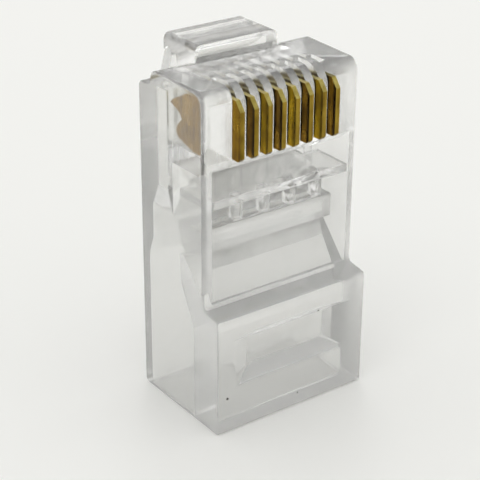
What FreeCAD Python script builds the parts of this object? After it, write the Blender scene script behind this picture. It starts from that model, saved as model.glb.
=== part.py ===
import FreeCAD, Part
import os
import re
import Sketcher

# RJ45 (8P8C) modular plug, not crimped yet, standing on its cable end.
# X runs across the plug, -Y is the contact side, +Y the latch side and Z runs from the cable end to the nose.
# The origin is the middle of the cable-end face of the body. All lengths are in millimetres.

doc = FreeCAD.newDocument("modular_plug")
sheet = doc.addObject("Spreadsheet::Sheet", "sizes")

# Driving dimensions: name, value and what it is.
SIZES = [
    ("body_width", 11.68, "across the plug"),
    ("body_depth", 8.3, "contact side to latch side at the cable end"),
    ("body_length", 22.3, "cable end to nose"),
    ("contact_setback", 1.44, "step from the cable-end section down to the contact face"),
    ("rear_height", 8.14, "height of the deeper cable-end section"),
    ("rear_slope", 0.35, "rise of the sloped step above it"),
    ("nose_setback", 1.3, "step of the nose on the latch side"),
    ("nose_height", 1.02, "height of that step below the nose"),
    ("side_wall", 0.6, "wall left and right of the cable cavity"),
    ("entry_wall", 0.5, "latch-side wall at the cable end"),
    ("channel_wall", 1.0, "latch-side wall beside the wires"),
    ("edge_radius", 0.08, "moulded edges around the side faces"),
    ("corner_radius", 0.33, "outer corners of the side profile"),
    ("foot_radius", 0.2, "contact-side edge of the end face"),
    ("nose_radius", 0.85, "nose corner of the outer walls on the contact side"),
    ("nose_back_radius", 0.6, "nose corner on the latch side"),
    ("jacket_room", 4.9, "depth of the cavity at the cable end"),
    ("jacket_reach_drop", 1.32, "from the web of the cable clamp down to where the latch-side wall thickens"),
    ("ramp_height", 1.4, "height over which it thickens"),
    ("roof_lean", 2.7, "height over which the contact-side wall leans in below its bend"),
    ("roof_knee_drop", 1.92, "from the web of the cable clamp down to the bend in that wall"),
    ("roof_drop", 1.33, "how far it has leaned in at the bend"),
    ("entry_chamfer", 0.12, "lead-in of the cable cavity"),
    ("window_sill", 0.11, "lower end of the clamp window above the sloped step"),
    ("window_top_drop", 5.4, "from the nose down to the upper end of the clamp window"),
    ("window_lip", 0.25, "flat sill of the window"),
    ("window_bevel_depth", 0.9, "bevel at the upper end, into the body"),
    ("window_bevel_height", 0.7, "bevel at the upper end, up the face"),
    ("window_depth", 3.6, "depth of the window over the wires"),
    ("web_drop", 11.28, "from the nose down to the web that carries the cable clamp"),
    ("web_depth", 2.43, "depth of that web below the contact face"),
    ("web_thickness", 0.47, "thickness of that web"),
    ("web_gap", 0.04, "gap that stands for the bent web"),
    ("funnel_start_drop", 9.0, "from the nose down to where the cavity starts to narrow to the wires"),
    ("funnel_end_drop", 7.75, "from the nose down to where it has narrowed"),
    ("contact_count", 8, "contacts and wires"),
    ("contact_pitch", 1.02, "between contacts"),
    ("channel_width", 0.9, "wire channel, across"),
    ("channel_depth", 1.05, "wire channel, towards the contacts"),
    ("channel_start_drop", 6.8, "from the nose down to where the wires divide into pairs"),
    ("channel_split_drop", 5.7, "from the nose down to where each pair divides into single wires"),
    ("channel_end_drop", 1.3, "from the nose down to the closed end of the channels"),
    ("slot_width", 0.42, "contact slot"),
    ("slot_bottom_drop", 4.5, "from the nose down to the lower end of the slots"),
    ("slot_top_drop", 0.75, "from the nose down to the upper end of the slots inside it"),
    ("slot_mouth", 2.2, "how far the slots open over the nose"),
    ("rib_radius", 1.4, "rounding of the ribs at the nose"),
    ("contact_thickness", 0.32, "stamped sheet"),
    ("contact_proud", 0.75, "how far the contacts stand out before crimping"),
    ("contact_width", 3.75, "contact edge, along the plug"),
    ("contact_gap", 0.06, "contact above the lower end of its slot"),
    ("contact_depth", 5.4, "contact edge to the longer prong"),
    ("contact_chamfer", 0.62, "corner of the contact edge at the nose"),
    ("recess_bottom", 3.05, "lower edge of the recess in the cable-end section"),
    ("recess_height", 3.45, "its height"),
    ("recess_width", 9.2, "its width"),
    ("recess_depth", 0.93, "its depth"),
    ("recess_floor_width", 5.7, "width of its flat floor"),
    ("recess_lower_slope", 0.92, "height of its sloping lower wall"),
    ("recess_upper_slope", 0.57, "height of its sloping upper wall"),
    ("latch_width", 6.22, "root and shoulders of the latch"),
    ("latch_tail_width", 3.25, "finger end of the latch"),
    ("latch_rise", 1.09, "root of the latch above the nose"),
    ("latch_front", 2.09, "latch-side wall of the body to the front of the latch root"),
    ("latch_overhang", 1.33, "root of the latch beyond the latch-side wall"),
    ("latch_root_lift", 0.05, "underside of the overhanging root above the nose"),
    ("latch_axis_drop", 0.2, "bending axis below that underside"),
    ("latch_axis_out", 0.83, "bending axis beyond the latch-side wall"),
    ("latch_thickness", 0.8, "latch at its bend"),
    ("latch_gap", 0.03, "gap that stands for the bent plastic"),
    ("latch_angle", 16.4, "latch leaning away from the body"),
    ("latch_shoulder", 8.3, "bend to the locking shoulders, along the latch"),
    ("latch_shoulder_out", 0.9, "outer face at the shoulders from the middle of the latch"),
    ("latch_length", 14.0, "bend to the tip, along the latch"),
    ("latch_tail_out", 0.65, "outer face of the tail from the middle of the latch"),
    ("latch_corner", 0.5, "rounded corners of the latch"),
    ("latch_root_corner", 0.45, "rounded edges on top of its root"),
    ("clamp_clearance", 0.29, "clamp bars to the window sides"),
    ("cable_bar_top", 1.98, "upper face of the cable clamp bar above its web"),
    ("cable_bar_bottom", 0.58, "lower edge of its outer face above its web"),
    ("cable_bar_setback", 1.0, "its outer face below the contact face"),
    ("cable_bar_depth", 2.55, "its depth at the top"),
    ("cable_bar_round", 0.35, "its rounded outer edges"),
    ("wire_bar_gap", 0.06, "wire clamp bar to the wall over the wires"),
    ("wire_bar_height", 0.6, "thickness of the wire clamp bar"),
    ("wire_bar_travel", 0.6, "how far the wire clamp bar is pushed in"),
    ("wire_bar_clearance", 0.1, "wire clamp bar to the window sides"),
    ("wire_post_width", 0.6, "posts under the wire clamp bar, between its wires"),
    ("wire_post_height", 1.25, "height of those posts"),
    ("wire_post_depth", 0.6, "depth of those posts"),
]
NAMES = {name for name, value, note in SIZES}
for row, (name, value, note) in enumerate(SIZES, start=1):
    sheet.set(f"A{row}", name)
    sheet.set(f"B{row}", str(value))
    sheet.setAlias(f"B{row}", name)
    sheet.set(f"C{row}", note)
doc.recompute()


# A formula is written with the names of the sheet, such as "body_width / 2".
def bound(formula):
    return re.sub(r"[a-z]\w*", lambda word: f"sizes.{word[0]}" if word[0] in NAMES else word[0], formula)


def value(formula):
    return float(sheet.evalExpression(bound(formula)))


def tie(thing, **formulas):
    for name, formula in formulas.items():
        thing.setExpression(name.replace("__", "."), bound(formula))


def origin_feature(body, role):
    return next(f for f in body.Origin.OriginFeatures if f.Role == role)


def new_body(name):
    body = doc.addObject("PartDesign::Body", name)
    body.Label = name
    return body


# A closed outline of straight lines, each corner tied to the sheet by two formulas.
def outline(body, name, plane, corners, offset=None):
    sketch = body.newObject("Sketcher::SketchObject", name)
    sketch.AttachmentSupport = (origin_feature(body, plane), [""])
    sketch.MapMode = "FlatFace"
    if offset:
        tie(sketch, AttachmentOffset__Base__z=offset)
    points = [FreeCAD.Vector(value(across), value(up), 0) for across, up in corners]
    for start, end in zip(points, points[1:] + points[:1]):
        sketch.addGeometry(Part.LineSegment(start, end), False)
    last = len(points) - 1
    for line in range(len(points)):
        before = last if line == 0 else line - 1
        sketch.addConstraint(Sketcher.Constraint("Coincident", before, 2, line, 1))
    for line, (across, up) in enumerate(corners):
        for kind, formula in (("DistanceX", across), ("DistanceY", up)):
            number = sketch.addConstraint(Sketcher.Constraint(kind, -1, 1, line, 1, value(formula)))
            sketch.setExpression(f"Constraints[{number}]", bound(formula))
    return sketch


# A circle whose middle and radius are tied to the sheet.
def circle(body, name, plane, across, up, radius):
    sketch = body.newObject("Sketcher::SketchObject", name)
    sketch.AttachmentSupport = (origin_feature(body, plane), [""])
    sketch.MapMode = "FlatFace"
    middle = FreeCAD.Vector(value(across), value(up), 0)
    sketch.addGeometry(Part.Circle(middle, FreeCAD.Vector(0, 0, 1), value(radius)), False)
    for kind, formula in (("DistanceX", across), ("DistanceY", up)):
        number = sketch.addConstraint(Sketcher.Constraint(kind, -1, 1, 0, 3, value(formula)))
        sketch.setExpression(f"Constraints[{number}]", bound(formula))
    number = sketch.addConstraint(Sketcher.Constraint("Radius", 0, value(radius)))
    sketch.setExpression(f"Constraints[{number}]", bound(radius))
    return sketch


def volume_of(body):
    doc.recompute()
    return body.Shape.Volume


# Adds a prism, or cuts one, with the same width to both sides of the sketch's plane.
def across_both_ways(body, kind, name, sketch, width):
    before = volume_of(body) if body.Tip and body.Tip != sketch else 0.0
    feature = body.newObject(f"PartDesign::{kind}", name)
    feature.Profile = sketch
    feature.SideType = "Symmetric"
    tie(feature, Length=width)
    check_change(body, name, before, grows=kind == "Pad")
    return feature


def check_change(body, name, before, grows):
    change = volume_of(body) - before
    if (change > 0) != grows or abs(change) < 1e-6:
        raise RuntimeError(f"{name} changed the volume of {body.Label} by {change:.4f}")


# Rounds the edges of the body's present shape for which pick(edge) is true.
def round_edges(body, name, radius, pick):
    before = volume_of(body)
    base = body.Tip
    edges = [f"Edge{n}" for n, edge in enumerate(body.Shape.Edges, start=1) if pick(edge)]
    if not edges:
        raise RuntimeError(f"{name} found no edge")
    fillet = body.newObject("PartDesign::Fillet", name)
    fillet.Base = (base, edges)
    tie(fillet, Radius=radius)
    if near(volume_of(body), before):
        raise RuntimeError(f"{name} rounded nothing")
    return fillet


def direction(edge):
    line = edge.lastVertex().Point - edge.firstVertex().Point if len(edge.Vertexes) == 2 else FreeCAD.Vector()
    return line.normalize() if line.Length > 1e-9 else line


def runs_along(edge, axis):
    return isinstance(edge.Curve, Part.Line) and abs(getattr(direction(edge), axis)) > 0.999


def near(first, second):
    return abs(first - second) < 1e-4


def pattern(body, name, feature, count, step):
    before = volume_of(body)
    copies = body.newObject("PartDesign::LinearPattern", name)
    copies.Originals = [feature]
    copies.Direction = (origin_feature(body, "X_Axis"), [""])
    copies.Mode = "Spacing"
    tie(copies, Occurrences=count, Offset=step)
    body.Tip = copies
    if near(volume_of(body), before) and value(count) > 1:
        raise RuntimeError(f"{name} made no copies")
    return copies


# Places that several pieces share, as formulas.
REAR_FACE = "-body_depth / 2"
LATCH_FACE = "body_depth / 2"
CONTACT_FACE = "(contact_setback - body_depth / 2)"
CAVITY_WIDTH = "(body_width - 2 * side_wall)"
CAVITY_FLOOR = "(body_depth / 2 - entry_wall)"
CAVITY_ROOF = "(body_depth / 2 - entry_wall - jacket_room)"
CHANNEL_FLOOR = "(body_depth / 2 - channel_wall)"
CHANNEL_ROOF = "(body_depth / 2 - channel_wall - channel_depth)"
CHANNELS_WIDTH = "(contact_pitch * (contact_count - 1) + channel_width)"
WINDOW_FLOOR = "(contact_setback - body_depth / 2 + window_depth)"
WEB_OUTER = "(contact_setback - body_depth / 2 + web_depth)"
WEB_MIDDLE = "(contact_setback - body_depth / 2 + web_depth + web_thickness / 2)"
LATCH_ROOT_HEIGHT = "(body_length + latch_root_lift)"
LATCH_AXIS_Y = "(body_depth / 2 + latch_axis_out)"
LATCH_AXIS_Z = "(body_length + latch_root_lift - latch_axis_drop)"
SLOT_TOP = "(body_length - slot_top_drop)"
SLOT_BOTTOM = "(body_length - slot_bottom_drop)"
CHANNEL_END = "(body_length - channel_end_drop)"
CHANNEL_SPLIT = "(body_length - channel_split_drop)"
CHANNEL_START = "(body_length - channel_start_drop)"
FUNNEL_END = "(body_length - funnel_end_drop)"
FUNNEL_START = "(body_length - funnel_start_drop)"
WINDOW_TOP = "(body_length - window_top_drop)"
WINDOW_BOTTOM = "(rear_height + rear_slope + window_sill)"
WEB_HEIGHT = "(body_length - web_drop)"
ROOF_KNEE = "(body_length - web_drop - roof_knee_drop)"
ROOF_START = "(body_length - web_drop - roof_knee_drop - roof_lean)"
JACKET_REACH = "(body_length - web_drop - jacket_reach_drop)"
FIRST_CONTACT_X = "(-contact_pitch * (contact_count - 1) / 2)"
OUTSIDE = "1"


def make_housing():
    body = new_body("housing")
    profile = outline(body, "side_profile", "YZ_Plane", [
        (REAR_FACE, "0"),
        (REAR_FACE, "rear_height"),
        (CONTACT_FACE, "rear_height + rear_slope"),
        (CONTACT_FACE, "body_length"),
        ("body_depth / 2 - nose_setback", "body_length"),
        ("body_depth / 2 - nose_setback", "body_length - nose_height"),
        (LATCH_FACE, "body_length - nose_height"),
        (LATCH_FACE, "0"),
    ])
    across_both_ways(body, "Pad", "block", profile, "body_width")
    cut_contact_slots(body)
    round_ribs(body)
    round_outside(body)
    cut_cavity(body)
    cut_channels(body)
    cut_recess(body)
    add_latch_root(body)
    return body


# One slot per contact, open on the contact side and over the nose, down to its wire channel.
def cut_contact_slots(body):
    slot = outline(body, "slot_profile", "YZ_Plane", [
        (f"{CONTACT_FACE} - {OUTSIDE}", SLOT_BOTTOM),
        (f"{CHANNEL_ROOF} + channel_depth / 2", SLOT_BOTTOM),
        (f"{CHANNEL_ROOF} + channel_depth / 2", SLOT_TOP),
        (f"{CONTACT_FACE} + slot_mouth", SLOT_TOP),
        (f"{CONTACT_FACE} + slot_mouth", f"body_length + {OUTSIDE}"),
        (f"{CONTACT_FACE} - {OUTSIDE}", f"body_length + {OUTSIDE}"),
    ], offset=FIRST_CONTACT_X)
    first = across_both_ways(body, "Pocket", "first_slot", slot, "slot_width")
    pattern(body, "contact_slots", first, "contact_count", "contact_pitch")


# The ribs between the slots have a large round at the nose, the outer walls a smaller one.
def round_ribs(body):
    half_row = value("contact_pitch * (contact_count - 1) / 2")

    def on_nose_corner(edge):
        middle = edge.CenterOfMass
        return (runs_along(edge, "x") and near(middle.y, value(CONTACT_FACE))
                and near(middle.z, value("body_length")))

    round_edges(body, "rib_rounds", "rib_radius",
                lambda edge: on_nose_corner(edge) and abs(edge.CenterOfMass.x) < half_row)
    round_edges(body, "nose_rounds", "nose_radius",
                lambda edge: on_nose_corner(edge) and abs(edge.CenterOfMass.x) > half_row)


# Corners of the side profile first, then both side faces all the way round.
def round_outside(body):
    foot = [(REAR_FACE, "0")]
    nose_back = [("body_depth / 2 - nose_setback", "body_length")]
    other_corners = [
        (LATCH_FACE, "0"),
        (REAR_FACE, "rear_height"),
        (CONTACT_FACE, "rear_height + rear_slope"),
        (LATCH_FACE, "body_length - nose_height"),
        ("body_depth / 2 - nose_setback", "body_length - nose_height"),
    ]
    for name, radius, corners in (("foot_round", "foot_radius", foot),
                                  ("nose_back_round", "nose_back_radius", nose_back),
                                  ("profile_rounds", "corner_radius", other_corners)):
        places = [(value(out), value(up)) for out, up in corners]
        round_edges(body, name, radius,
                    lambda edge: runs_along(edge, "x") and any(
                        near(edge.CenterOfMass.y, y) and near(edge.CenterOfMass.z, z) for y, z in places))
    half_width = value("body_width / 2")
    round_edges(body, "side_rounds", "edge_radius",
                lambda edge: all(near(abs(vertex.X), half_width) for vertex in edge.Vertexes)
                and near(abs(edge.CenterOfMass.x), half_width))


# The cable cavity and the window over it, in one cut between the side walls.
def cut_cavity(body):
    cavity = outline(body, "cavity_profile", "YZ_Plane", [
        (f"{CAVITY_FLOOR} + entry_chamfer / 2", "0"),
        (CAVITY_FLOOR, "entry_chamfer"),
        (CAVITY_FLOOR, JACKET_REACH),
        (CHANNEL_FLOOR, f"{JACKET_REACH} + ramp_height"),
        (CHANNEL_FLOOR, FUNNEL_START),
        (WINDOW_FLOOR, FUNNEL_START),
        (WINDOW_FLOOR, WINDOW_TOP),
        (f"{CONTACT_FACE} + window_bevel_depth", WINDOW_TOP),
        (CONTACT_FACE, f"{WINDOW_TOP} + window_bevel_height"),
        (f"{CONTACT_FACE} - {OUTSIDE}", f"{WINDOW_TOP} + window_bevel_height"),
        (f"{CONTACT_FACE} - {OUTSIDE}", WINDOW_BOTTOM),
        (f"{CONTACT_FACE} + window_lip", WINDOW_BOTTOM),
        (WEB_OUTER, WEB_HEIGHT),
        (f"{WEB_OUTER} + web_thickness", WEB_HEIGHT),
        (f"{CAVITY_ROOF} + roof_drop", ROOF_KNEE),
        (CAVITY_ROOF, ROOF_START),
        (CAVITY_ROOF, "entry_chamfer"),
        (f"{CAVITY_ROOF} - entry_chamfer", "0"),
    ])
    across_both_ways(body, "Pocket", "cable_cavity", cavity, CAVITY_WIDTH)
    before = volume_of(body)
    wide = rectangle(body, "funnel_mouth", FUNNEL_START, CAVITY_WIDTH, WINDOW_FLOOR)
    narrow = rectangle(body, "funnel_throat", FUNNEL_END, CHANNELS_WIDTH, CHANNEL_ROOF)
    funnel = body.newObject("PartDesign::SubtractiveLoft", "wire_funnel")
    funnel.Profile = wide
    funnel.Sections = [narrow]
    check_change(body, "wire_funnel", before, grows=False)


# A level rectangle from the channel floor to the given depth, centred across the plug.
def rectangle(body, name, height, width, outer):
    return outline(body, name, "XY_Plane", [
        (f"-{width} / 2", CHANNEL_FLOOR),
        (f"-{width} / 2", outer),
        (f"{width} / 2", outer),
        (f"{width} / 2", CHANNEL_FLOOR),
    ], offset=height)


# From the funnel the wires run side by side, then in pairs, then each in its own channel.
def cut_channels(body):
    row = outline(body, "wire_row_profile", "YZ_Plane", [
        (CHANNEL_ROOF, FUNNEL_END),
        (CHANNEL_FLOOR, FUNNEL_END),
        (CHANNEL_FLOOR, CHANNEL_START),
        (CHANNEL_ROOF, CHANNEL_START),
    ])
    across_both_ways(body, "Pocket", "wire_row", row, CHANNELS_WIDTH)
    tongue_slot = outline(body, "tongue_slot_profile", "YZ_Plane", [
        (f"{WINDOW_FLOOR} - wire_bar_gap", f"{CHANNEL_START} - wire_bar_height - wire_bar_gap"),
        (CHANNEL_FLOOR, f"{CHANNEL_START} - wire_bar_height - wire_bar_gap"),
        (CHANNEL_FLOOR, CHANNEL_START),
        (f"{WINDOW_FLOOR} - wire_bar_gap", CHANNEL_START),
    ])
    across_both_ways(body, "Pocket", "tongue_slot", tongue_slot, CHANNELS_WIDTH)
    pair = outline(body, "pair_profile", "YZ_Plane", [
        (CHANNEL_ROOF, CHANNEL_START),
        (CHANNEL_FLOOR, CHANNEL_START),
        (CHANNEL_FLOOR, CHANNEL_SPLIT),
        (CHANNEL_ROOF, CHANNEL_SPLIT),
    ], offset=f"{FIRST_CONTACT_X} + contact_pitch / 2")
    first_pair = across_both_ways(body, "Pocket", "first_pair", pair, "contact_pitch + channel_width")
    pattern(body, "pair_channels", first_pair, "contact_count / 2", "contact_pitch * 2")
    single = outline(body, "wire_profile", "YZ_Plane", [
        (CHANNEL_ROOF, CHANNEL_SPLIT),
        (CHANNEL_FLOOR, CHANNEL_SPLIT),
        (CHANNEL_FLOOR, CHANNEL_END),
        (CHANNEL_ROOF, CHANNEL_END),
    ], offset=FIRST_CONTACT_X)
    first = across_both_ways(body, "Pocket", "first_channel", single, "channel_width")
    pattern(body, "wire_channels", first, "contact_count", "contact_pitch")


# A shallow tapered recess keeps the thick cable-end wall from sinking in the mould.
def cut_recess(body):
    before = volume_of(body)
    mouth = outline(body, "recess_mouth", "XZ_Plane", [
        ("-recess_width / 2", "recess_bottom"),
        ("recess_width / 2", "recess_bottom"),
        ("recess_width / 2", "recess_bottom + recess_height"),
        ("-recess_width / 2", "recess_bottom + recess_height"),
    ], offset="body_depth / 2")
    floor = outline(body, "recess_floor", "XZ_Plane", [
        ("-recess_floor_width / 2", "recess_bottom + recess_lower_slope"),
        ("recess_floor_width / 2", "recess_bottom + recess_lower_slope"),
        ("recess_floor_width / 2", "recess_bottom + recess_height - recess_upper_slope"),
        ("-recess_floor_width / 2", "recess_bottom + recess_height - recess_upper_slope"),
    ], offset="body_depth / 2 - recess_depth")
    recess = body.newObject("PartDesign::SubtractiveLoft", "rear_recess")
    recess.Profile = mouth
    recess.Sections = [floor]
    check_change(body, "rear_recess", before, grows=False)


# The latch grows out of the nose: a block that stands on the nose and hangs over the latch side.
def add_latch_root(body):
    root = outline(body, "latch_root_profile", "YZ_Plane", [
        (f"{LATCH_FACE} - nose_setback - corner_radius", "body_length - nose_height * 2 / 3"),
        (f"{LATCH_FACE} - latch_front", "body_length - nose_height * 2 / 3"),
        (f"{LATCH_FACE} - latch_front", "body_length + latch_rise"),
        (f"{LATCH_FACE} + latch_overhang", "body_length + latch_rise"),
        (f"{LATCH_FACE} + latch_overhang", LATCH_ROOT_HEIGHT),
        (LATCH_FACE, LATCH_ROOT_HEIGHT),
        (f"{LATCH_FACE} - corner_radius", "body_length - nose_height - corner_radius * 3 / 2"),
        (f"{LATCH_FACE} - nose_setback - corner_radius", "body_length - nose_height - corner_radius * 3 / 2"),
    ])
    across_both_ways(body, "Pad", "latch_root", root, "latch_width")
    seat = circle(body, "latch_seat_profile", "YZ_Plane", LATCH_AXIS_Y, LATCH_AXIS_Z,
                  "latch_thickness / 2 + latch_gap")
    across_both_ways(body, "Pocket", "latch_seat", seat, f"latch_width + {OUTSIDE}")
    top = value("body_length + latch_rise")
    side = value("latch_width / 2")
    round_edges(body, "latch_root_rounds", "latch_root_corner",
                lambda edge: runs_along(edge, "y") and near(edge.CenterOfMass.z, top)
                and near(abs(edge.CenterOfMass.x), side))


# Straight arm with a thick middle that ends in the two locking shoulders, and a narrow finger tail.
# Its own frame has the bending axis at the origin and the arm running down -Z.
def make_latch():
    body = new_body("latch")
    half = "latch_thickness / 2"
    blade = outline(body, "blade_profile", "YZ_Plane", [
        (f"-{half}", "0"),
        (half, "0"),
        ("latch_shoulder_out", "-latch_shoulder"),
        (f"-{half}", "-latch_shoulder"),
    ])
    across_both_ways(body, "Pad", "blade", blade, "latch_width")
    knuckle = circle(body, "bend_profile", "YZ_Plane", "0", "0", half)
    across_both_ways(body, "Pad", "bend", knuckle, "latch_width")
    tail = outline(body, "tail_profile", "YZ_Plane", [
        (f"-{half}", "-latch_shoulder + latch_corner"),
        ("latch_tail_out", "-latch_shoulder + latch_corner"),
        ("latch_tail_out", f"-latch_length + {half}"),
        ("0", "-latch_length"),
        (f"-{half}", "-latch_length"),
    ])
    across_both_ways(body, "Pad", "tail", tail, "latch_tail_width")
    side = value("latch_width / 2")
    tail_side = value("latch_tail_width / 2")
    shoulder = value("-latch_shoulder")
    round_edges(body, "shoulder_rounds", "latch_corner",
                lambda edge: runs_along(edge, "y") and near(edge.CenterOfMass.z, shoulder)
                and near(abs(edge.CenterOfMass.x), side))
    round_edges(body, "tail_rounds", "latch_corner",
                lambda edge: near(abs(edge.CenterOfMass.x), tail_side)
                and edge.CenterOfMass.z < value(f"-latch_length + {half}") + 1e-4
                and not runs_along(edge, "x"))
    tie(body, Placement__Base__y=LATCH_AXIS_Y, Placement__Base__z=LATCH_AXIS_Z)
    body.Placement.Rotation = FreeCAD.Rotation(FreeCAD.Vector(1, 0, 0), 1)
    tie(body, Placement__Rotation__Angle="latch_angle")
    return body


# A bar on a thin web: pushed in, it turns about the web and grips the cable.
# Its own frame has the web at the origin.
def make_cable_clamp():
    body = new_body("cable_clamp")
    outer = f"({CONTACT_FACE} + cable_bar_setback - {WEB_MIDDLE})"
    profile = outline(body, "bar_profile", "YZ_Plane", [
        ("0", "web_gap"),
        ("web_thickness", "web_thickness"),
        (f"{outer} + cable_bar_depth", "cable_bar_top"),
        (outer, "cable_bar_top"),
        (outer, "cable_bar_bottom"),
        ("-web_thickness / 2", "web_gap * 2"),
    ])
    across_both_ways(body, "Pad", "bar", profile, f"{CAVITY_WIDTH} - 2 * clamp_clearance")
    top = value("cable_bar_top")
    side = value(f"({CAVITY_WIDTH} - 2 * clamp_clearance) / 2")
    round_edges(body, "bar_rounds", "cable_bar_round",
                lambda edge: runs_along(edge, "z") and near(abs(edge.CenterOfMass.x), side)
                or runs_along(edge, "x") and near(edge.CenterOfMass.z, top)
                and near(edge.CenterOfMass.y, value(outer)))
    tie(body, Placement__Base__y=WEB_MIDDLE, Placement__Base__z=WEB_HEIGHT)
    return body


# A plate that crosses the window, with a tongue that reaches down to the wires and short posts below.
def make_wire_clamp():
    body = new_body("wire_clamp")
    top = f"({CHANNEL_START} - wire_bar_gap)"
    bottom = f"({CHANNEL_START} - wire_bar_height)"
    shoulder = f"({WINDOW_FLOOR} - wire_bar_travel - wire_bar_gap)"
    plate = outline(body, "plate_profile", "YZ_Plane", [
        (CONTACT_FACE, bottom), (shoulder, bottom), (shoulder, top), (CONTACT_FACE, top),
    ])
    across_both_ways(body, "Pad", "plate", plate, f"{CAVITY_WIDTH} - 2 * wire_bar_clearance")
    tongue = outline(body, "tongue_profile", "YZ_Plane", [
        (CONTACT_FACE, bottom), (f"{CHANNEL_ROOF} - wire_bar_gap", bottom),
        (f"{CHANNEL_ROOF} - wire_bar_gap", top), (CONTACT_FACE, top),
    ])
    across_both_ways(body, "Pad", "tongue", tongue, f"{CHANNELS_WIDTH} - 2 * wire_bar_clearance")
    post = outline(body, "post_profile", "YZ_Plane", [
        (f"{CONTACT_FACE} + wire_post_depth / 2", f"{bottom} - wire_post_height"),
        (f"{CONTACT_FACE} + wire_post_depth * 3 / 2", f"{bottom} - wire_post_height"),
        (f"{CONTACT_FACE} + wire_post_depth * 3 / 2", f"{bottom} + wire_bar_gap"),
        (f"{CONTACT_FACE} + wire_post_depth / 2", f"{bottom} + wire_bar_gap"),
    ], offset=f"{FIRST_CONTACT_X} + contact_pitch / 2")
    first = across_both_ways(body, "Pad", "first_post", post, "wire_post_width")
    pattern(body, "posts", first, "contact_count / 2", "contact_pitch * 2")
    return body


# The two prongs of a contact: shares of its depth inside the body and of its width along the plug.
PRONGS = [(0.48, 0), (0.82, 0.11), (0.88, 0.2), (0.86, 0.3), (0.74, 0.46), (0.8, 0.56), (1, 0.66),
          (0.94, 0.73), (0.64, 0.93)]


# One stamped contact: a blunt contact edge outside and two prongs that pierce the wire.
# Its own frame has the contact edge on the contact face, at the height of the slot's lower end.
def make_contact(number):
    name = f"contact_{number}"
    body = new_body(name)
    profile = outline(body, f"{name}_profile", "YZ_Plane", [
        ("-contact_proud", "contact_gap + contact_chamfer / 3"),
        ("-contact_proud + contact_chamfer / 3", "contact_gap"),
        *[(f"(contact_depth - contact_proud) * {deep}", f"contact_gap + contact_width * {along}")
          for deep, along in PRONGS],
        ("contact_chamfer", "contact_gap + contact_width"),
        ("-contact_proud + contact_chamfer * 4 / 5", "contact_gap + contact_width"),
        ("-contact_proud", "contact_gap + contact_width - contact_chamfer"),
    ])
    across_both_ways(body, "Pad", f"{name}_blank", profile, "contact_thickness")
    tie(body, Placement__Base__x=f"{FIRST_CONTACT_X} + contact_pitch * {number - 1}",
        Placement__Base__y=CONTACT_FACE, Placement__Base__z=SLOT_BOTTOM)
    return body


pieces = [make_housing(), make_latch(), make_cable_clamp(), make_wire_clamp()]
pieces += [make_contact(number) for number in range(1, int(value("contact_count")) + 1)]
doc.recompute()

for thing in doc.Objects:
    if "Invalid" in thing.State or "Error" in thing.State:
        raise RuntimeError(f"{thing.Name} did not build: {thing.State}")
for piece in pieces:
    if piece.Shape.isNull() or not piece.Shape.isValid() or len(piece.Shape.Solids) != 1:
        raise RuntimeError(f"{piece.Label} is not one valid solid")

os.makedirs("parts", exist_ok=True)
for piece in pieces:
    piece.Shape.exportStep(f"parts/{piece.Label}.step")
    box = piece.Shape.BoundBox
    print(f"{piece.Label}: {piece.Shape.Volume:.3f} mm3, Y {box.YMin:.2f} to {box.YMax:.2f},",
          f"Z {box.ZMin:.2f} to {box.ZMax:.2f}")
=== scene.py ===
import math
import random
import bmesh
import bpy
from mathutils import Matrix, Vector
from mathutils.geometry import intersect_point_line


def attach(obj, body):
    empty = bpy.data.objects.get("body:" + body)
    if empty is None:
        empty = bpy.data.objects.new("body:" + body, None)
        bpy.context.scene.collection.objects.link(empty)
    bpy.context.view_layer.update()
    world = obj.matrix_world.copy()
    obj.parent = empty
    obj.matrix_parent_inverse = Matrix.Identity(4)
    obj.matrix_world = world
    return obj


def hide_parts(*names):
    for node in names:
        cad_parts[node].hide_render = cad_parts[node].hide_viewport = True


# An uncrimped clear modular plug that stands on its cable end on a pale table.

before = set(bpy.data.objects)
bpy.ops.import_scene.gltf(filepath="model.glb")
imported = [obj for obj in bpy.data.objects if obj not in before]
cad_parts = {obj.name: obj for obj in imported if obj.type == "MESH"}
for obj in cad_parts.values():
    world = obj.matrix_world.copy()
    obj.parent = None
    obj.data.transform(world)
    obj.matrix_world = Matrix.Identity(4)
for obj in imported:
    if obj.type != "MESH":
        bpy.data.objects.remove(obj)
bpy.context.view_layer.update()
print("frame loaded:", len(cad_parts), "nodes")

mm = 0.001  # lengths in the dictionaries below are real millimetres
colourA, colourB, mixedColour = 6, 7, 2  # the sockets of a Mix node that mixes colours
numberA, numberB, mixedNumber = 2, 3, 0  # and of one that mixes numbers


def toLinear(hexColour):  # an sRGB hex value to the linear colour that a shader takes
    channels = [int(hexColour[i:i + 2], 16) / 255 for i in (1, 3, 5)]
    return [c / 12.92 if c <= 0.04045 else ((c + 0.055) / 1.055) ** 2.4 for c in channels] + [1.0]


def addNode(tree, kind, links=None, **settings):  # links: input name or number -> output socket or value
    node = tree.nodes.new(kind)
    for name, value in settings.items():
        setattr(node, name, value)
    for name, source in (links or {}).items():
        if isinstance(source, bpy.types.NodeSocket):
            tree.links.new(source, node.inputs[name])
        else:
            node.inputs[name].default_value = source
    return node


def newMaterial(name):
    material = bpy.data.materials.new(name)
    material.use_nodes = True
    material.node_tree.nodes.clear()
    return material, material.node_tree


def newPiece(name, shape, material):  # a bmesh becomes an object in the scene
    mesh = bpy.data.meshes.new(name)
    shape.to_mesh(mesh)
    shape.free()
    mesh.materials.append(material)
    piece = bpy.data.objects.new(name, mesh)
    bpy.context.scene.collection.objects.link(piece)
    return piece


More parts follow.
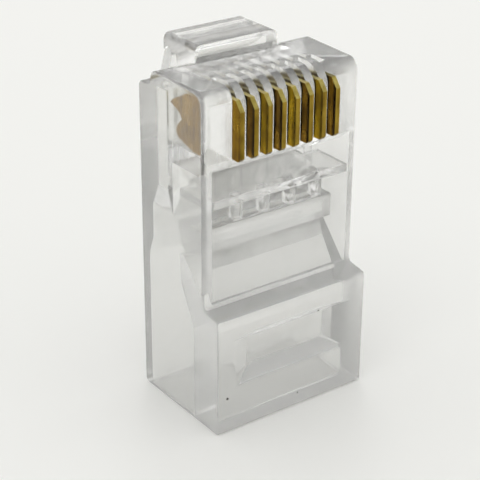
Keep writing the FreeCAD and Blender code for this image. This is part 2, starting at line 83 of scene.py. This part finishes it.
# Clear polycarbonate, injection moulded in an unpolished mould. It gives the eye soft refraction with faint
# flow waves and a milky veil, finely scuffed here and there, and it is frosted where the end face was cut.
polycarbonate = {
    "tint": "#fffffe",
    "ior": 1.586,
    "roughness": (0.09, 0.21),     # between the scuffs and on them
    "scuffSize": 0.9,
    "scuffDetail": 4.0,
    "scuffRaggedness": 0.6,
    "scuffEdges": (0.35, 0.65),    # the levels of the pattern where a scuff begins and where it is full
    "clearness": (0.82, 0.98),     # cable end and nose: the thick end scatters more light
    "clearing": (12.0, 18.0),      # the heights between which it clears
    "waveSize": 2.4,               # flow waves in the moulded face
    "waveDetail": 1.0,
    "waveHeight": 0.003,
    "frostBelow": 0.03,            # the end face is frosted up to this height
    "frostRoughness": 0.6,
}


def makePolycarbonate():
    material, tree = newMaterial("clearPolycarbonate")
    place = addNode(tree, "ShaderNodeTexCoord").outputs["Object"]
    scuffs = addNode(tree, "ShaderNodeTexNoise", {
        "Vector": place, "Scale": 1 / (polycarbonate["scuffSize"] * mm),
        "Detail": polycarbonate["scuffDetail"], "Roughness": polycarbonate["scuffRaggedness"]})
    roughness = addNode(tree, "ShaderNodeMapRange", {
        "Value": scuffs.outputs["Fac"],
        "From Min": polycarbonate["scuffEdges"][0], "From Max": polycarbonate["scuffEdges"][1],
        "To Min": polycarbonate["roughness"][0], "To Max": polycarbonate["roughness"][1]})
    waves = addNode(tree, "ShaderNodeTexNoise", {
        "Vector": place, "Scale": 1 / (polycarbonate["waveSize"] * mm),
        "Detail": polycarbonate["waveDetail"]})
    bump = addNode(tree, "ShaderNodeBump", {
        "Height": waves.outputs["Fac"], "Strength": 1.0, "Distance": polycarbonate["waveHeight"] * mm})
    height = addNode(tree, "ShaderNodeSeparateXYZ", {"Vector": place}).outputs["Z"]
    clearness = addNode(tree, "ShaderNodeMapRange", {
        "Value": height,
        "From Min": polycarbonate["clearing"][0] * mm, "From Max": polycarbonate["clearing"][1] * mm,
        "To Min": polycarbonate["clearness"][0], "To Max": polycarbonate["clearness"][1]})
    endFace = addNode(tree, "ShaderNodeMath", {
        0: height, 1: polycarbonate["frostBelow"] * mm}, operation="LESS_THAN")
    frosted = addNode(tree, "ShaderNodeMix", {
        "Factor": endFace.outputs["Value"],
        numberA: roughness.outputs["Result"], numberB: polycarbonate["frostRoughness"]})
    shader = addNode(tree, "ShaderNodeBsdfPrincipled", {
        "Base Color": toLinear(polycarbonate["tint"]), "IOR": polycarbonate["ior"],
        "Transmission Weight": clearness.outputs["Result"], "Roughness": frosted.outputs[mixedNumber],
        "Normal": bump.outputs["Normal"]})
    addNode(tree, "ShaderNodeOutputMaterial", {"Surface": shader.outputs["BSDF"]})
    return material


# Thin gold plate over stamped phosphor bronze: a muted olive gold with the fine upright lines that the die
# leaves, and paler on the corner at the nose, whose faces point up: painted light from above. Beside its edge
# each flat side has two darker bands. The one at the edge is where the die rolled the sheet over and tore it,
# and the deeper one is painted shade from deep in the slot. Every other contact is given darker sides, painted
# shade, and the ones between get lighter sides, painted light. The first contact has shades of its own.
goldPlate = {
    "sides": {  # the two shades of the flat sides, and how dark the bands on them are
        # first: contact 1; bright: sides in painted light; dull: sides in painted shade, where the painted
        # bands are darkest too
        "first": ("#a9820c", "#704f08", 0.3),
        "bright": ("#d0aa1c", "#8a680c", 0.72),
        "dull": ("#a27a1a", "#62450a", 1.0),
    },
    "edges": ("#a08634", "#6c5618"),
    "corner": ("#b6a860", "#857434"),
    "roughness": (0.22, 0.42),
    "lineSpacing": 0.22,
    "lineDetail": 3.0,
    "lineSquash": 0.05,       # the pattern's height is read at a twentieth, so the lines stand upright
    "cloudSize": 1.1,
    "cloudDetail": 2.0,
    "shading": (0.12, 0.42),  # the levels of lines times clouds between which the shades blend
    "sideFrom": 0.5,          # a face that points this far sideways is a flat side
    "cornerFrom": 0.3,        # and one that points this far up is the corner at the nose, given painted light from above
    "bandsFrom": -3.46,       # the contact edge, and how deep the bands reach behind it
    "bandsDepth": 1.3,
    "bands": [                # share of that depth, and how bright it is there
        (0.0, 0.25), (0.1, 0.08), (0.24, 0.8), (0.36, 1.0),
        (0.5, 0.75), (0.62, 0.12), (0.85, 0.12), (1.0, 1.0),
    ],
}


def makeGoldPlate(face):
    bright, dull, darkness = goldPlate["sides"][face]
    material, tree = newMaterial(f"goldPlate{face.capitalize()}")
    texture = addNode(tree, "ShaderNodeTexCoord")
    place = texture.outputs["Object"]

    squashed = addNode(tree, "ShaderNodeMapping", {
        "Vector": place, "Scale": (1.0, 1.0, goldPlate["lineSquash"])})
    lines = addNode(tree, "ShaderNodeTexNoise", {
        "Vector": squashed.outputs["Vector"], "Scale": 1 / (goldPlate["lineSpacing"] * mm),
        "Detail": goldPlate["lineDetail"]})
    clouds = addNode(tree, "ShaderNodeTexNoise", {
        "Vector": place, "Scale": 1 / (goldPlate["cloudSize"] * mm), "Detail": goldPlate["cloudDetail"]})
    blend = addNode(tree, "ShaderNodeMath", {
        0: lines.outputs["Fac"], 1: clouds.outputs["Fac"]}, operation="MULTIPLY")
    share = addNode(tree, "ShaderNodeMapRange", {
        "Value": blend.outputs["Value"],
        "From Min": goldPlate["shading"][0], "From Max": goldPlate["shading"][1]}).outputs["Result"]
    edgeShade, paintedTopLight, sideShade = [addNode(tree, "ShaderNodeMix", {
        "Factor": share, colourA: toLinear(pair[0]), colourB: toLinear(pair[1])},
        data_type="RGBA").outputs[mixedColour]
        for pair in (goldPlate["edges"], goldPlate["corner"], (bright, dull))]

    # The bands darken the flat side by its depth behind the edge. The first band, at the edge, is the die's
    # roll-over, and the second, deeper in, is painted shade from the slot.
    bandsTo = goldPlate["bandsFrom"] + goldPlate["bandsDepth"]
    depth = addNode(tree, "ShaderNodeMapRange", {
        "Value": addNode(tree, "ShaderNodeSeparateXYZ", {"Vector": place}).outputs["Y"],
        "From Min": goldPlate["bandsFrom"] * mm, "From Max": bandsTo * mm})
    bands = addNode(tree, "ShaderNodeValToRGB", {"Fac": depth.outputs["Result"]})
    stops = bands.color_ramp.elements
    while len(stops) < len(goldPlate["bands"]):
        stops.new(1.0)
    for stop, (position, level) in zip(stops, goldPlate["bands"]):
        stop.position = position
        stop.color = [1 - darkness * (1 - level)] * 3 + [1.0]
    banded = addNode(tree, "ShaderNodeVectorMath", {
        0: sideShade, 1: bands.outputs["Color"]}, operation="MULTIPLY")

    facing = addNode(tree, "ShaderNodeSeparateXYZ", {"Vector": texture.outputs["Normal"]})
    sideways = addNode(tree, "ShaderNodeMath", {0: facing.outputs["X"]}, operation="ABSOLUTE")
    onSide = addNode(tree, "ShaderNodeMath", {
        0: sideways.outputs["Value"], 1: goldPlate["sideFrom"]}, operation="GREATER_THAN")
    onCorner = addNode(tree, "ShaderNodeMath", {
        0: facing.outputs["Z"], 1: goldPlate["cornerFrom"]}, operation="GREATER_THAN")
    # faces that point up take the paler shade: painted light from above
    edges = addNode(tree, "ShaderNodeMix", {
        "Factor": onCorner.outputs["Value"], colourA: edgeShade, colourB: paintedTopLight}, data_type="RGBA")
    colour = addNode(tree, "ShaderNodeMix", {
        "Factor": onSide.outputs["Value"],
        colourA: edges.outputs[mixedColour], colourB: banded.outputs["Vector"]}, data_type="RGBA")
    roughness = addNode(tree, "ShaderNodeMapRange", {
        "Value": share, "To Min": goldPlate["roughness"][0], "To Max": goldPlate["roughness"][1]})
    shader = addNode(tree, "ShaderNodeBsdfPrincipled", {
        "Base Color": colour.outputs[mixedColour], "Metallic": 1.0, "Roughness": roughness.outputs["Result"]})
    addNode(tree, "ShaderNodeOutputMaterial", {"Surface": shader.outputs["BSDF"]})
    return material


clearPolycarbonate = makePolycarbonate()
platedGold = {face: makeGoldPlate(face) for face in goldPlate["sides"]}
print("materials made")


# A clear piece needs smooth normals over its rounds, which the loose triangles of its CAD node don't have,
# so it is shown by a merged copy of the node.
mouldedPieces = {
    "names": ["housing", "latch", "cable_clamp", "wire_clamp"],
    "mergeWithin": 0.0005,
    "smoothBelow": 18.5,   # degrees between faces: the rounds have steps of 16 and less
    "flatness": 100,       # how strongly a large face keeps its own normal beside a small round
}

# The mould is worn round along both upright edges of the contact side, so there the small round is made larger,
# most of all at the nose.
frontEdges = {
    "halfWidth": 5.84,
    "radius": 0.08,
    "wornRadius": (0.12, 0.30),  # cable-end section and nose
    "slope": (-3.9, -2.9),       # the depths between which it grows, over the step
    "before": -0.6,              # only what lies in front of this depth is worn
    "tolerance": 0.0015,
}


def wearFrontEdges(copy):
    half, radius, tolerance = frontEdges["halfWidth"], frontEdges["radius"], frontEdges["tolerance"]
    least, most = frontEdges["wornRadius"]
    low, high = frontEdges["slope"]
    strip = [v for v in copy.verts if half - radius - tolerance < abs(v.co.x) / mm
             and v.co.y / mm < frontEdges["before"]]
    for side in (-1, 1):  # the rim is the line where the round meets the front
        rim = {v: v.co.copy() for v in strip if abs(v.co.x * side / mm - half + radius) < tolerance}
        runs = [[rim[v] for v in edge.verts] for edge in copy.edges if all(v in rim for v in edge.verts)]
        for v in strip:
            if v.co.x * side < 0:
                continue
            level = Vector((side * (half - radius) * mm, v.co.y, v.co.z))
            foot = min(rim.values(), key=lambda point: (point - level).length)
            if (foot - level).length > (radius + tolerance) * mm:  # beside a straight run of the rim
                feet = [intersect_point_line(level, *run) for run in runs]
                foot = min((point for point, along in feet if 0 <= along <= 1), default=foot,
                           key=lambda point: (point - level).length)
            share = min(max((foot.y / mm - low) / (high - low), 0), 1)
            grow = (least + (most - least) * share) / radius
            v.co = Vector((side * (half * mm - (half * mm - abs(v.co.x)) * grow),
                           foot.y + (v.co.y - foot.y) * grow, foot.z + (v.co.z - foot.z) * grow))
    print("front edges worn:", len(strip), "points")


# The upper wall of the recess in the cable-end section has only the draft that lets it leave the mould, so it
# is brought nearly level.
recess = {
    "mouth": (-4.15, 6.5),    # depth and height of the upper wall's outer edge
    "floor": (-3.22, 5.93),   # and of its inner edge
    "moving": (0.01, 1.01),   # shares of the way in: the outer edge stays, and the inner edge goes along
    "draft": 0.08,            # what the wall falls by now
    "halfWidth": 4.7,
    "tolerance": 0.004,
}


def levelRecess(copy):
    (front, high), (deep, low) = recess["mouth"], recess["floor"]
    first, last = recess["moving"]
    moved = 0
    for v in copy.verts:
        share = (v.co.y / mm - front) / (deep - front)
        onWall = abs(v.co.z / mm - high - share * (low - high)) < recess["tolerance"]
        if onWall and first < share < last and abs(v.co.x) / mm < recess["halfWidth"]:
            v.co.z = (high - share * recess["draft"]) * mm
            moved += 1
    print("recess wall levelled:", moved, "points")


def showMoulded(node):
    copy = bmesh.new()
    copy.from_mesh(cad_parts[node].data)
    bmesh.ops.remove_doubles(copy, verts=copy.verts, dist=mouldedPieces["mergeWithin"] * mm)
    if node == "housing":
        wearFrontEdges(copy)
        levelRecess(copy)
    bmesh.ops.recalc_face_normals(copy, faces=copy.faces)
    for face in copy.faces:
        face.smooth = True
    piece = newPiece(f"{node}Moulded", copy, clearPolycarbonate)
    piece.data.set_sharp_from_angle(angle=math.radians(mouldedPieces["smoothBelow"]))
    flatten = piece.modifiers.new("flatFaces", "WEIGHTED_NORMAL")
    flatten.mode = "FACE_AREA"
    flatten.weight = mouldedPieces["flatness"]
    flatten.keep_sharp = True
    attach(piece, node)
    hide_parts(node)


for name in mouldedPieces["names"]:
    showMoulded(name)
print("clear mouldings made")

for name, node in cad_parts.items():
    if name.startswith("contact_"):
        number = int(name.split("_")[1])
        # odd contacts get the sides in painted light and even ones the sides in painted shade
        face = "first" if number == 1 else "bright" if number % 2 else "dull"
        node.data.materials.clear()
        node.data.materials.append(platedGold[face])
print("contacts finished")


# Grains of dust on the contact side: flat, ragged and half sunk into the finish. Their grey-brown is mottled.
dust = {
    "colour": "#45433d",
    "mottling": (0.7, 1.3),
    "mottleSize": 0.05,
    "roughness": 0.9,
    "grains": [  # place on the face, size across
        ((-5.09, -4.15, 2.50), 0.17),
        ((0.51, -4.15, 0.93), 0.12),
        ((2.04, -4.15, 6.53), 0.13),
        ((-3.12, -3.60, 8.27), 0.13),
        ((0.96, -3.60, 8.27), 0.12),
    ],
    "flatness": 0.3,
    "raggedness": 0.25,
    "seed": 4,
}


def makeDust():
    material, tree = newMaterial("dustGrain")
    place = addNode(tree, "ShaderNodeTexCoord").outputs["Object"]
    clouds = addNode(tree, "ShaderNodeTexNoise", {"Vector": place, "Scale": 1 / (dust["mottleSize"] * mm)})
    shade = addNode(tree, "ShaderNodeMapRange", {
        "Value": clouds.outputs["Fac"], "To Min": dust["mottling"][0], "To Max": dust["mottling"][1]})
    colour = addNode(tree, "ShaderNodeVectorMath", {
        0: toLinear(dust["colour"])[:3], 1: shade.outputs["Result"]}, operation="MULTIPLY")
    shader = addNode(tree, "ShaderNodeBsdfPrincipled", {
        "Base Color": colour.outputs["Vector"], "Roughness": dust["roughness"]})
    addNode(tree, "ShaderNodeOutputMaterial", {"Surface": shader.outputs["BSDF"]})
    draw = random.Random(dust["seed"])
    grains = bmesh.new()
    for spot, across in dust["grains"]:
        grain = bmesh.ops.create_icosphere(grains, subdivisions=2, radius=across * mm / 2)["verts"]
        for corner in grain:
            corner.co *= 1 + dust["raggedness"] * (draw.random() - 0.5)
        bmesh.ops.scale(grains, verts=grain, vec=(1, dust["flatness"], 1))
        bmesh.ops.translate(grains, verts=grain, vec=Vector(spot) * mm)
    piece = newPiece("dustGrains", grains, material)
    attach(piece, "housing")


makeDust()
print("dust laid")


table = {
    "colour": "#f6f6f4",
    "size": 600.0,
    "roughness": 0.6,
    "below": 0.02,  # a hair of air under the plug, so that its clear end face and the table stay apart
}


def makeTable():
    material, tree = newMaterial("paleTable")
    shader = addNode(tree, "ShaderNodeBsdfPrincipled", {
        "Base Color": toLinear(table["colour"]), "Roughness": table["roughness"]})
    addNode(tree, "ShaderNodeOutputMaterial", {"Surface": shader.outputs["BSDF"]})
    surface = bmesh.new()
    bmesh.ops.create_grid(surface, x_segments=1, y_segments=1, size=table["size"] * mm / 2)
    bmesh.ops.translate(surface, verts=surface.verts, vec=(0, 0, -table["below"] * mm))
    top = newPiece("tableTop", surface, material)


makeTable()
print("table set")


studio = {
    "overhead": "#cfcfcd",
    "horizon": "#fbfbf9",
    "strength": 1.22,
    "backdrop": 0.6,                      # share of the light that is left low behind the plug
    "backdropTowards": (0.6, 0.8, -0.35),
    "backdropEdges": (0.35, 0.95),        # how squarely a direction looks at it: where it begins and is full
    "lamps": [  # name, place, size, power
        ("keyLamp", (-150, -60, 240), 120, 0.05),
        ("rimLamp", (120, 160, 160), 90, 0.04),
    ],
    "aim": (0, 0, 10),                    # the lamps point at the middle of the plug
    "bounces": 32,                        # light passes many clear walls before it leaves
    "glossyBounces": 12,
}


def lightStudio():
    world = bpy.data.worlds.new("studio")
    world.use_nodes = True
    tree = world.node_tree
    direction = addNode(tree, "ShaderNodeTexCoord").outputs["Generated"]
    height = addNode(tree, "ShaderNodeSeparateXYZ", {"Vector": direction}).outputs["Z"]
    sky = addNode(tree, "ShaderNodeMix", {
        "Factor": height, colourA: toLinear(studio["horizon"]), colourB: toLinear(studio["overhead"])},
        data_type="RGBA")
    behind = addNode(tree, "ShaderNodeVectorMath", {
        0: direction, 1: studio["backdropTowards"]}, operation="DOT_PRODUCT")
    strength = addNode(tree, "ShaderNodeMapRange", {
        "Value": behind.outputs["Value"],
        "From Min": studio["backdropEdges"][0], "From Max": studio["backdropEdges"][1],
        "To Min": studio["strength"], "To Max": studio["strength"] * studio["backdrop"]})
    background = tree.nodes["Background"]
    tree.links.new(strength.outputs["Result"], background.inputs["Strength"])
    tree.links.new(sky.outputs[mixedColour], background.inputs["Color"])
    bpy.context.scene.world = world
    for name, place, size, power in studio["lamps"]:
        lamp = bpy.data.lights.new(name, "AREA")
        lamp.shape = "SQUARE"
        lamp.size = size * mm
        lamp.energy = power
        holder = bpy.data.objects.new(name, lamp)
        holder.location = Vector(place) * mm
        toPlug = Vector(studio["aim"]) * mm - holder.location
        holder.rotation_euler = toPlug.to_track_quat("-Z", "Y").to_euler()
        bpy.context.scene.collection.objects.link(holder)
    bpy.context.scene.view_settings.view_transform = "Standard"
    bpy.context.scene.cycles.max_bounces = studio["bounces"]
    bpy.context.scene.cycles.transmission_bounces = studio["bounces"]
    bpy.context.scene.cycles.glossy_bounces = studio["glossyBounces"]


lightStudio()
print("studio lit")


view = {
    "from": (-48.931, -65.217, 50.440),  # fitted to the body's corners in the photo
    "at": (-0.816, 0.477, 10.484),
    "roll": 0.397,
    "lens": 106.53,
    "sensor": 36.0,
    "clip": (1, 5000),
}


def placeCamera():
    camera = bpy.data.cameras.new("photoCamera")
    camera.lens = view["lens"]
    camera.sensor_width = view["sensor"]
    camera.clip_start, camera.clip_end = [distance * mm for distance in view["clip"]]
    holder = bpy.data.objects.new("photoCamera", camera)
    holder.location = Vector(view["from"]) * mm
    sight = (Vector(view["at"]) - Vector(view["from"])).to_track_quat("-Z", "Y")
    roll = Matrix.Rotation(math.radians(view["roll"]), 3, "Z")
    holder.rotation_euler = (sight.to_matrix() @ roll).to_euler()
    bpy.context.scene.collection.objects.link(holder)
    bpy.context.scene.camera = holder


placeCamera()
print("camera placed")
